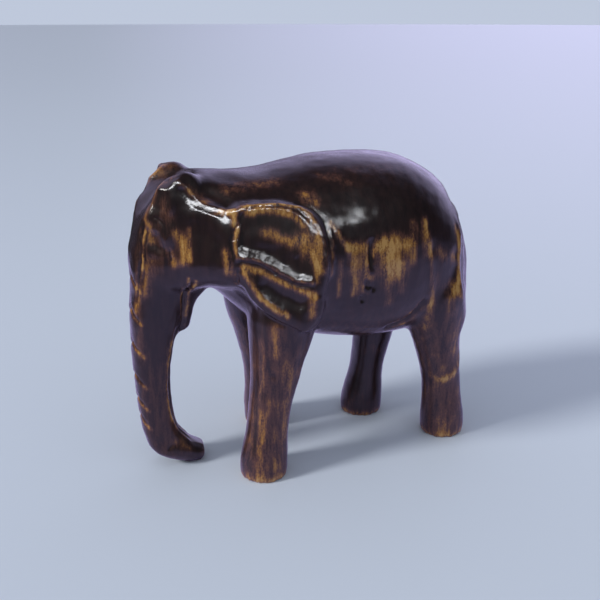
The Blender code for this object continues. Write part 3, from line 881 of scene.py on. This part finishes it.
tree.join(colour, "Color", shader, "Base Color")
shader.inputs["Roughness"].default_value = FLOOR_ROUGHNESS
shader.inputs["Specular IOR Level"].default_value = 0.02
output = tree.add("OutputMaterial")
tree.join(shader, "BSDF", output, "Surface")
floor.data.materials.append(floor_finish)
print("floor", FLOOR_RADIUS * 2, "m across")

# %% The room
BACKDROP = (0.52, 0.58, 0.71)
FILL = (0.45, 0.47, 0.53)
DARK_ROOM = (0.010, 0.009, 0.012)
WALL = (1.30, 1.18, 1.90)
WALL_DIRECTION = (0.75, 0.58, 0.32)
DOOR_DIRECTION = (-0.43, 0.64, 0.63)
WALL_EDGE, DOOR_EDGE = 0.70, 0.78  # how nearly a ray must point at them before they start to show
DOOR_BRIGHTNESS = 0.7  # as a share of the wall's

world = bpy.data.worlds.new("studio")
bpy.context.scene.world = world
world.use_nodes = True
world.node_tree.nodes.clear()
tree = Tree(world)
direction = tree.add("TexCoord")
towards = tree.add("VectorMath", operation="DOT_PRODUCT")
towards.inputs[1].default_value = WALL_DIRECTION
tree.join(direction, "Generated", towards, "Vector")
wall = tree.remap(towards, "Value", WALL_EDGE, 1.0)
behind = tree.add("VectorMath", operation="DOT_PRODUCT")
behind.inputs[1].default_value = DOOR_DIRECTION
tree.join(direction, "Generated", behind, "Vector")
door = tree.remap(behind, "Value", DOOR_EDGE, 1.0, 0.0, DOOR_BRIGHTNESS)
wall = tree.maths("MAXIMUM", wall, "Result", door, "Result")
mirrored = tree.ramp(wall, "Value", [(0.0, DARK_ROOM), (1.0, WALL)])

def background(name, colour_node=None, colour=None):
    node = tree.add("Background")
    node.name = name
    if colour_node:
        tree.join(colour_node, "Color", node, "Color")
    else:
        node.inputs["Color"].default_value = (*colour, 1)
    return node

def choose(ray, otherwise, chosen):
    mix = tree.add("MixShader")
    tree.join(rays, ray, mix, "Fac")
    tree.tree.links.new(otherwise.outputs[0], mix.inputs[1])
    tree.tree.links.new(chosen.outputs[0], mix.inputs[2])
    return mix

rays = tree.add("LightPath")
room = choose("Is Glossy Ray", background("fill", colour=FILL), background("mirrored", mirrored))
room = choose("Is Camera Ray", room, background("backdrop", colour=BACKDROP))
output = tree.add("OutputWorld")
tree.join(room, "Shader", output, "Surface")
print("room ready")

# %% [markdown]
# The key is a sun with a soft edge, so its shadows soften with distance. The strip is long and low and
# draws a line along each ridge, and the spark is a very small lamp beside the ear for the ledge of its
# fold. One big lamp could light both places, but it would lay a gray patch over the dark flank. The strip
# and the spark don't light the wood itself; they only show in the lacquer.

# %% The lamps
def add_lamp(name, place, aim, width, height, power, colour):
    """A rectangular lamp at a place in metres that faces the aim."""
    bpy.ops.object.select_all(action="DESELECT")
    bpy.ops.object.light_add(type="AREA", location=place)
    lamp = bpy.context.object
    lamp.name = name
    lamp.data.shape = "RECTANGLE"
    lamp.data.size = width
    lamp.data.size_y = height
    lamp.data.energy = power
    lamp.data.color = colour
    lamp.rotation_euler = (Vector(aim) - Vector(place)).to_track_quat("-Z", "Y").to_euler()
    return lamp

FIGURE_MIDDLE = Vector((0, 0, 0.07))
EAR_LIP = Vector((-28, -37, 106)) * MM
SUN_DIRECTION = Vector((-0.95, -0.05, 0.58))
STRIP_DIRECTION = Vector((-0.38, -0.65, 0.66))
SPARK_DIRECTION = Vector((0.42, -0.76, 0.49))
STRIP_DISTANCE, STRIP_WIDTH, STRIP_HEIGHT, STRIP_POWER = 0.9, 0.75, 0.14, 12
SPARK_DISTANCE, SPARK_WIDTH, SPARK_HEIGHT, SPARK_POWER = 0.12, 0.029, 0.0100, 0.042
SUN_POWER, SUN_SOFTNESS = 2.0, math.radians(12)
WARM_WHITE = (1.0, 0.98, 0.95)
COOL_WHITE = (0.93, 0.95, 1.0)

bpy.ops.object.select_all(action="DESELECT")
bpy.ops.object.light_add(type="SUN", location=(-1, -0.3, 0.8))
sun = bpy.context.object
sun.name = "key"
sun.data.energy = SUN_POWER
sun.data.angle = SUN_SOFTNESS
sun.data.color = WARM_WHITE
sun.rotation_euler = (-SUN_DIRECTION).to_track_quat("-Z", "Y").to_euler()
strip = add_lamp("strip", FIGURE_MIDDLE + STRIP_DISTANCE * STRIP_DIRECTION, FIGURE_MIDDLE,
                 STRIP_WIDTH, STRIP_HEIGHT, STRIP_POWER, COOL_WHITE)
spark = add_lamp("spark", EAR_LIP + SPARK_DISTANCE * SPARK_DIRECTION, EAR_LIP,
                 SPARK_WIDTH, SPARK_HEIGHT, SPARK_POWER, COOL_WHITE)
strip.visible_diffuse = spark.visible_diffuse = spark.visible_camera = False
print("lamps ready")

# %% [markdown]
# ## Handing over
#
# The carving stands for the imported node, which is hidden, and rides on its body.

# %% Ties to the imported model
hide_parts("carved_elephant")
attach(elephant, "root")
